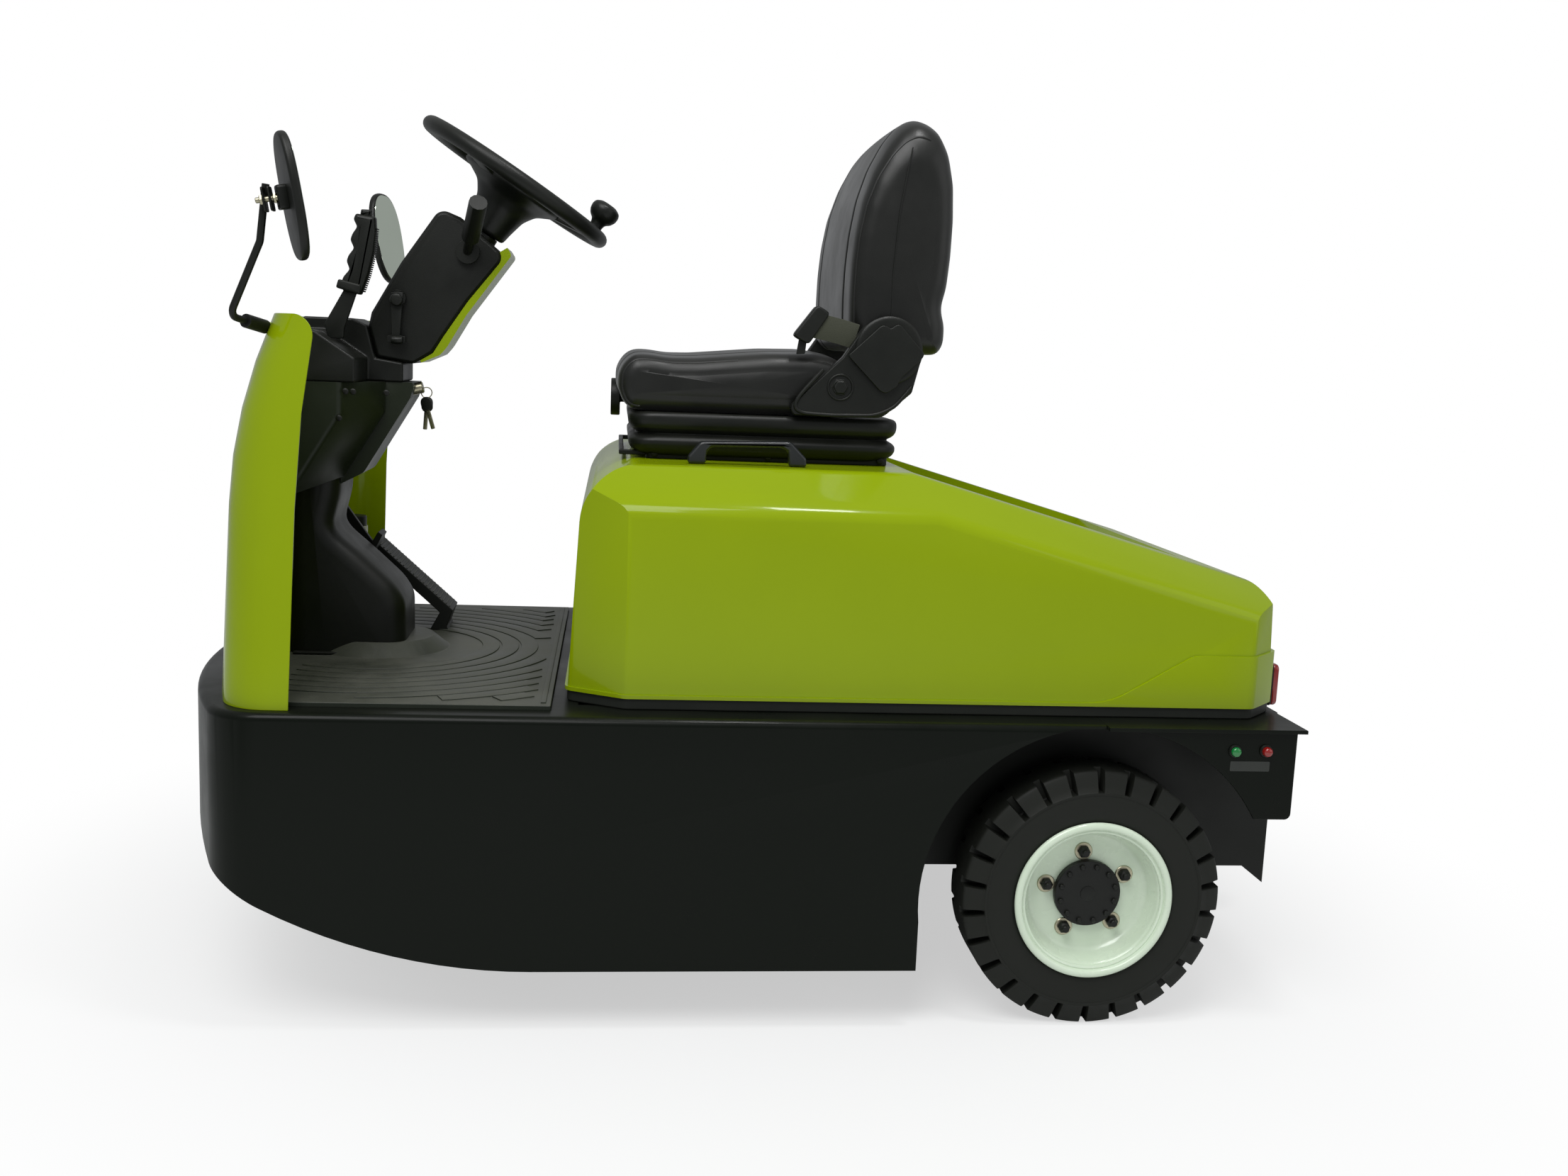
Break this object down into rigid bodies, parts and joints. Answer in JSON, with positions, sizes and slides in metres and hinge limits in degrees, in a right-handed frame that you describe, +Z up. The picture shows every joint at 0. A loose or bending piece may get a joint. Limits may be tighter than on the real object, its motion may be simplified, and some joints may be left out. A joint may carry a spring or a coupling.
{
  "type": "airport baggage tug",
  "caption": "Three-wheeled electric tow tractor for baggage carts: open driver's place behind a bent shield, seat on the battery hood, single steered front wheel, tow jaws behind.",
  "frame": {"origin": "on the floor, at the centre of the part's bounding box", "axes": "+X forwards, along the machine; +Y to the driver's left; +Z up"},
  "size_m": [1.8699, 1.018, 1.4063],
  "materials": {
    "lime_paint": "gloss",
    "black_paint": "satin",
    "black_steel": "satin",
    "black_plastic": "matte",
    "dark_plastic": "matte",
    "floor_rubber": "matte",
    "tyre_rubber": "matte",
    "rim_paint": "gloss",
    "seat_vinyl": "matte",
    "zinc_steel": "satin",
    "cast_black": "matte",
    "battery_case": "satin",
    "lamp_red": "gloss",
    "bottle_white": "satin"
  },
  "bodies": {
    "frame": {"chassis": "black_steel", "skirt": "black_paint", "rear_fenders": "black_paint", "fender_buttons": "lamp_red", "battery": "battery_case", "drive_axle": "cast_black", "tow_coupling": "cast_black", "floor_plate": "black_steel", "floor_mat": "floor_rubber", "shield": "lime_paint", "pedestal": "black_plastic", "dash_lower": "dark_plastic", "dash_cowl": "black_plastic", "ignition_key": "zinc_steel", "column_cover": "black_plastic", "column_fascia": "lime_paint", "column_levers": "black_plastic", "handbrake": "black_plastic", "accelerator_pedal": "black_steel", "brake_pedal": "black_steel", "fluid_reservoir": "bottle_white", "hood_seal": "floor_rubber", "mirror_arms": "black_steel", "mirrors": "black_plastic"},
    "hood_lid": {"hood": "lime_paint", "tail_lamps": "lamp_red", "hood_handles": "black_plastic", "seat_base": "black_steel", "seat_bellows": "black_plastic", "seat_cushion": "seat_vinyl", "seat_back": "seat_vinyl", "recliner_covers": "black_plastic", "seat_belt": "black_plastic", "seat_controls": "black_plastic"},
    "tow_pin": {"tow_pin": "zinc_steel"},
    "steering_wheel": {"steering_wheel": "black_plastic"},
    "steer_fork": {"steer_fork": "black_steel"},
    "front_wheel": {"tyre_front": "tyre_rubber", "rim_front": "rim_paint"},
    "rear_left_wheel": {"tyre_rear_left": "tyre_rubber", "rim_rear_left": "rim_paint", "hub_rear_left": "cast_black"},
    "rear_right_wheel": {"tyre_rear_right": "tyre_rubber", "rim_rear_right": "rim_paint", "hub_rear_right": "cast_black"}
  },
  "joints": [
    {"name": "rear_left_spin", "type": "hinge", "parent": "frame", "child": "rear_left_wheel", "pos_m": [-0.505, 0.428, 0.2075], "axis": [0, 1, 0], "continuous": true},
    {"name": "rear_right_spin", "type": "hinge", "parent": "frame", "child": "rear_right_wheel", "pos_m": [-0.505, -0.428, 0.2075], "axis": [0, 1, 0], "continuous": true},
    {"name": "front_steer", "type": "hinge", "parent": "frame", "child": "steer_fork", "pos_m": [0.66, 0, 0.3], "axis": [0, 0, 1], "range_deg": [-75, 75]},
    {"name": "front_wheel_spin", "type": "hinge", "parent": "steer_fork", "child": "front_wheel", "pos_m": [0.66, 0, 0.2075], "axis": [0, 1, 0], "continuous": true},
    {"name": "steering_wheel_turn", "type": "hinge", "parent": "frame", "child": "steering_wheel", "pos_m": [0.436, 0, 1.3015], "axis": [-0.527, 0, 0.8499], "range_deg": [-541, 541]},
    {"name": "hood_tilt", "type": "hinge", "parent": "frame", "child": "hood_lid", "pos_m": [-0.823, 0, 0.502], "axis": [0, -1, 0], "range_deg": [0, 55]},
    {"name": "tow_pin_lift", "type": "slide", "parent": "frame", "child": "tow_pin", "axis": [0, 0, 1], "range_m": [0, 0.09]}
  ],
  "couplings": [
    {"joint": "steering_wheel_turn", "follows": "front_steer", "ratio": 7.2}
  ]
}
